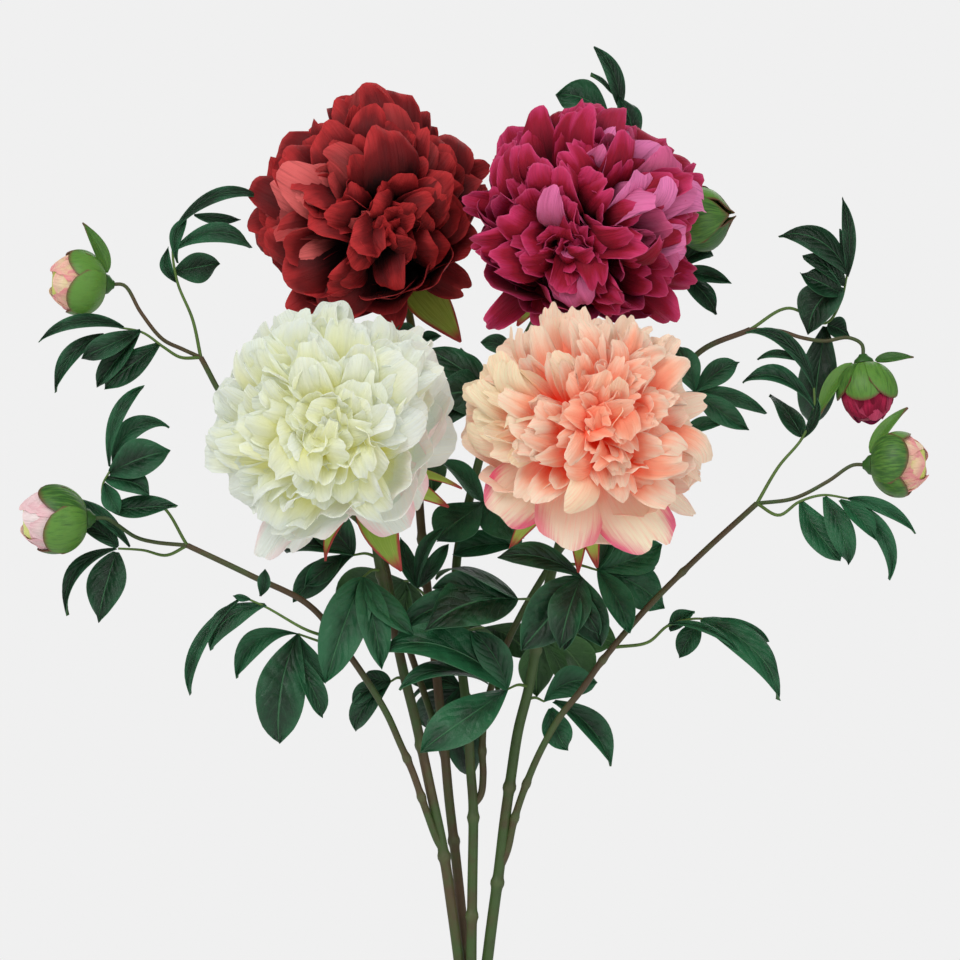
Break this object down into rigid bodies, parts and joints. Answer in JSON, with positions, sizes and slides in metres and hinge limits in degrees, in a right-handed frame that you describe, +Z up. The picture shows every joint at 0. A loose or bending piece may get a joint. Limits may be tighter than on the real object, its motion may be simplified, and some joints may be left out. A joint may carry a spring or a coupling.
{
  "type": "peonies in a bud vase",
  "caption": "Double peony stems with buds and lobed leaves, standing together in a plain slim-necked bud vase.",
  "frame": {"origin": "middle of the vase's flat foot, on the surface it stands on", "axes": "+Z up along the vase, -Y towards the viewer of the front, +X to that viewer's right"},
  "size_m": [0.5434, 0.2657, 0.7771],
  "materials": {
    "vase": "gloss",
    "stem": "satin",
    "leaf": "satin",
    "sepal": "satin",
    "white_petals": "matte",
    "red_petals": "matte",
    "coral_petals": "matte",
    "magenta_petals": "matte",
    "pale_bud": "matte",
    "crimson_bud": "matte",
    "bud_sepal": "satin"
  },
  "bodies": {
    "root": {"vase": "vase", "white_stem": "stem", "red_stem": "stem", "coral_stem": "stem", "magenta_stem": "stem", "white_leaf_fork_upper": "leaf", "white_leaf_fork_lower": "leaf", "white_leaf_outer": "leaf", "white_leaf_drooping": "leaf", "white_leaf_front": "leaf", "white_leaf_left": "leaf", "white_leaf_low": "leaf", "red_leaf_fork_upper": "leaf", "red_leaf_fork_lower": "leaf", "red_leaf_upright": "leaf", "red_leaf_top": "leaf", "red_leaf_back": "leaf", "red_leaf_back_low": "leaf", "coral_leaf_low_left": "leaf", "coral_leaf_low_right": "leaf", "coral_leaf_mid_left": "leaf", "coral_leaf_front_right": "leaf", "coral_leaf_right": "leaf", "coral_leaf_fork_upper": "leaf", "coral_leaf_fork_lower": "leaf", "coral_leaf_outer": "leaf", "coral_leaf_back": "leaf", "magenta_leaf_low": "leaf", "magenta_leaf_back_low": "leaf", "magenta_leaf_centre": "leaf", "magenta_leaf_between": "leaf", "magenta_leaf_right": "leaf", "magenta_leaf_under": "leaf", "magenta_leaf_fork": "leaf", "magenta_leaf_bud": "leaf", "magenta_leaf_crown": "leaf", "magenta_leaf_stem": "leaf", "white_calyx": "sepal", "red_calyx": "sepal", "coral_calyx": "sepal", "magenta_calyx": "sepal", "white_bloom": "white_petals", "red_bloom": "red_petals", "coral_bloom": "coral_petals", "magenta_bloom": "magenta_petals", "bud_white": "pale_bud", "bud_red": "pale_bud", "bud_coral": "pale_bud", "bud_magenta": "crimson_bud", "bud_top": "crimson_bud", "bud_white_sepals": "bud_sepal", "bud_red_sepals": "bud_sepal", "bud_coral_sepals": "bud_sepal", "bud_magenta_sepals": "bud_sepal", "bud_top_sepals": "bud_sepal"}
  },
  "joints": []
}
